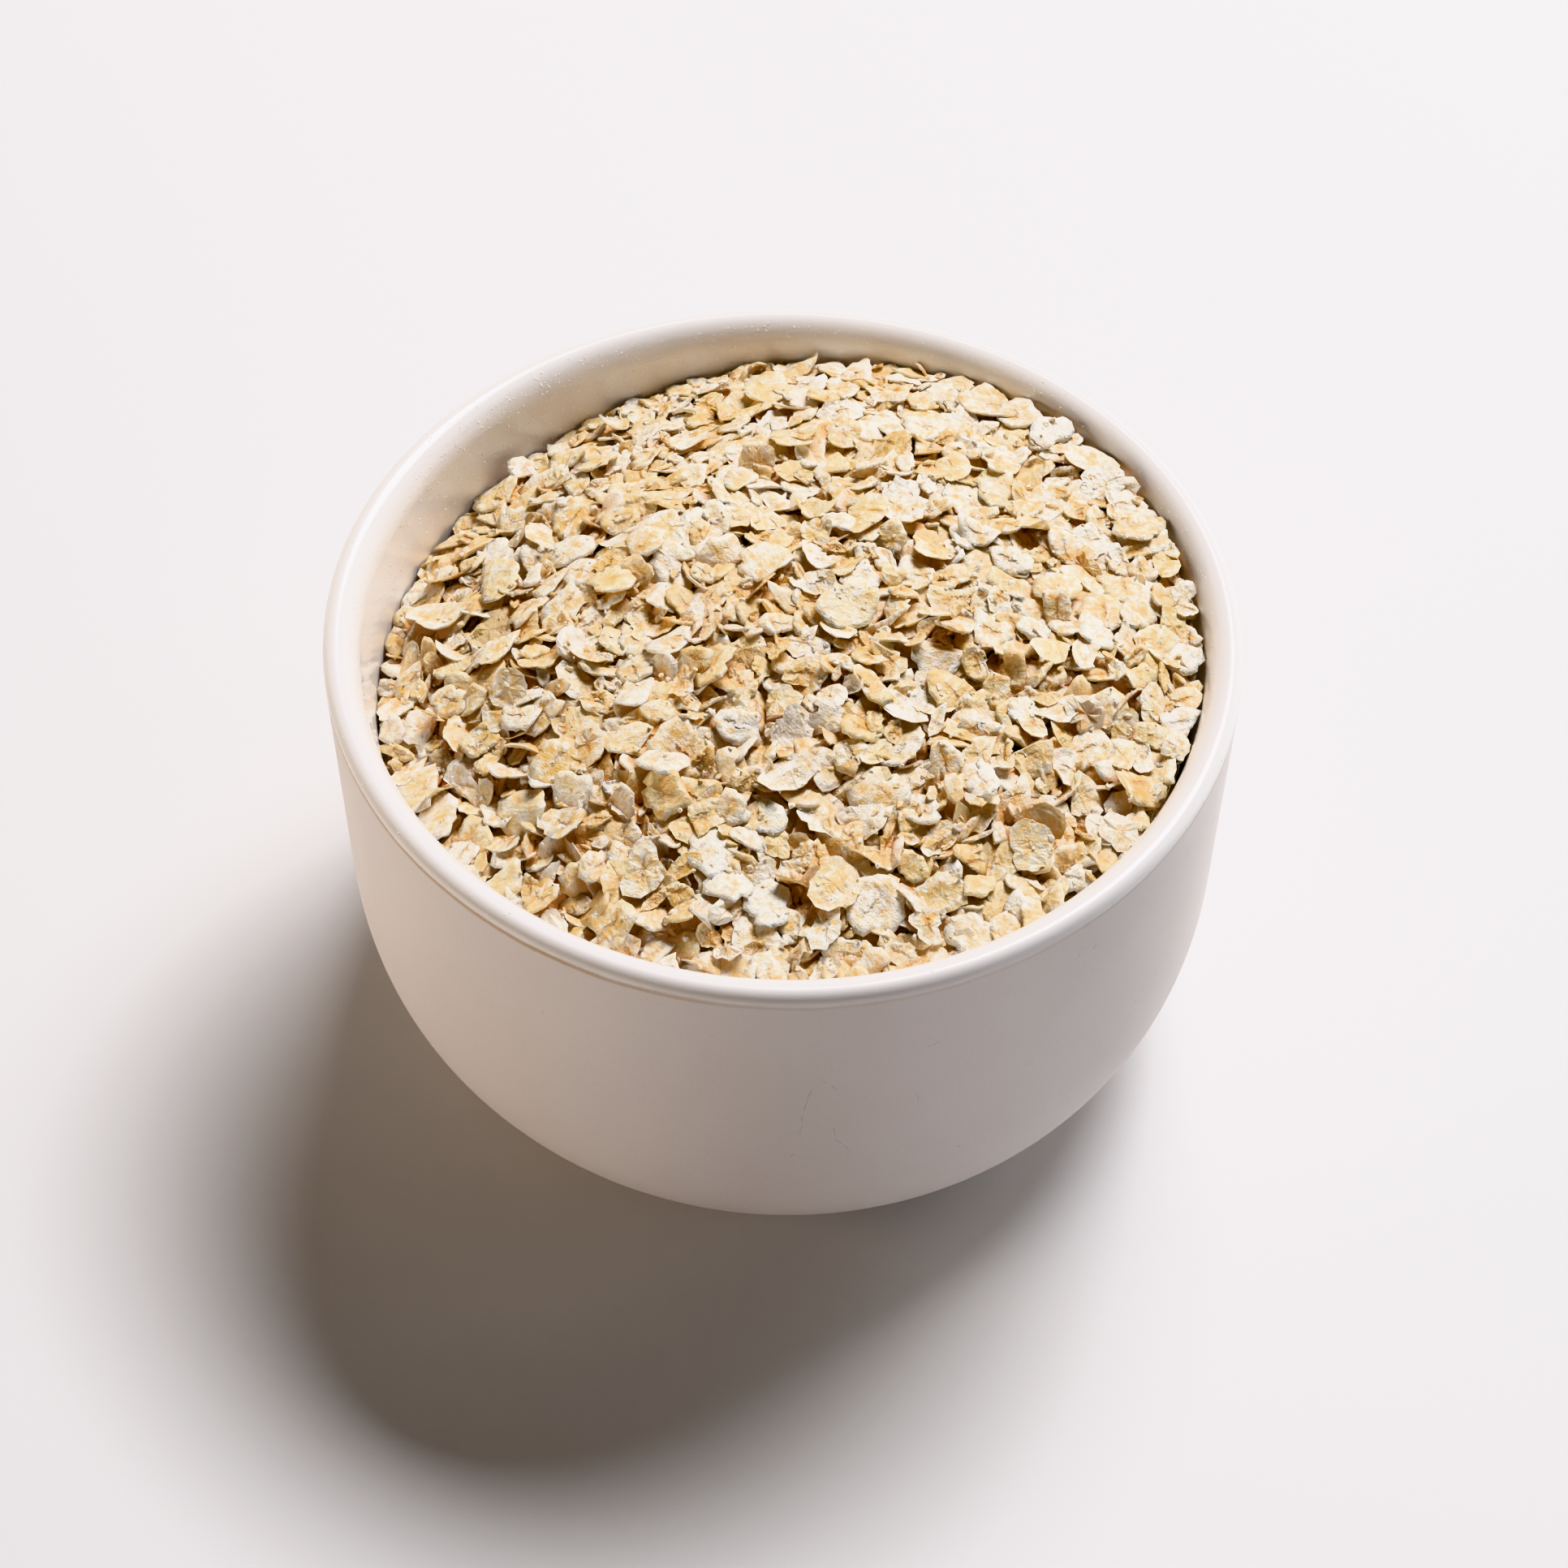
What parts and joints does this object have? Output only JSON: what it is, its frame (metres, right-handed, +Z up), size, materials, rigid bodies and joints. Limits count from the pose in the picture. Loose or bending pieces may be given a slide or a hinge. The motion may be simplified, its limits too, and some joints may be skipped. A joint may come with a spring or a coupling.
{
  "type": "bowl of rolled oats",
  "caption": "Round stoneware bowl with a straight wall and rounded belly, heaped to just above its lip with rolled oat flakes.",
  "frame": {"origin": "middle of the flat foot, on the surface the bowl stands on", "axes": "+Z up along the bowl's axis; +X to the right and -Y towards the viewer, so the heap is highest towards +X and lowest towards -X"},
  "size_m": [0.1202, 0.1196, 0.0759],
  "materials": {
    "bowl_glaze": "off-white glaze, glossy inside and over the lip, satin on the outer wall, thinner and tan where it breaks at the lip's outer corner",
    "oat_flakes": "dry matt rolled oat flakes, cream dusted with white flour, honey-coloured at their middles and creases"
  },
  "bodies": {
    "root": {"bowl": "bowl_glaze", "oats": "oat_flakes"}
  },
  "joints": []
}
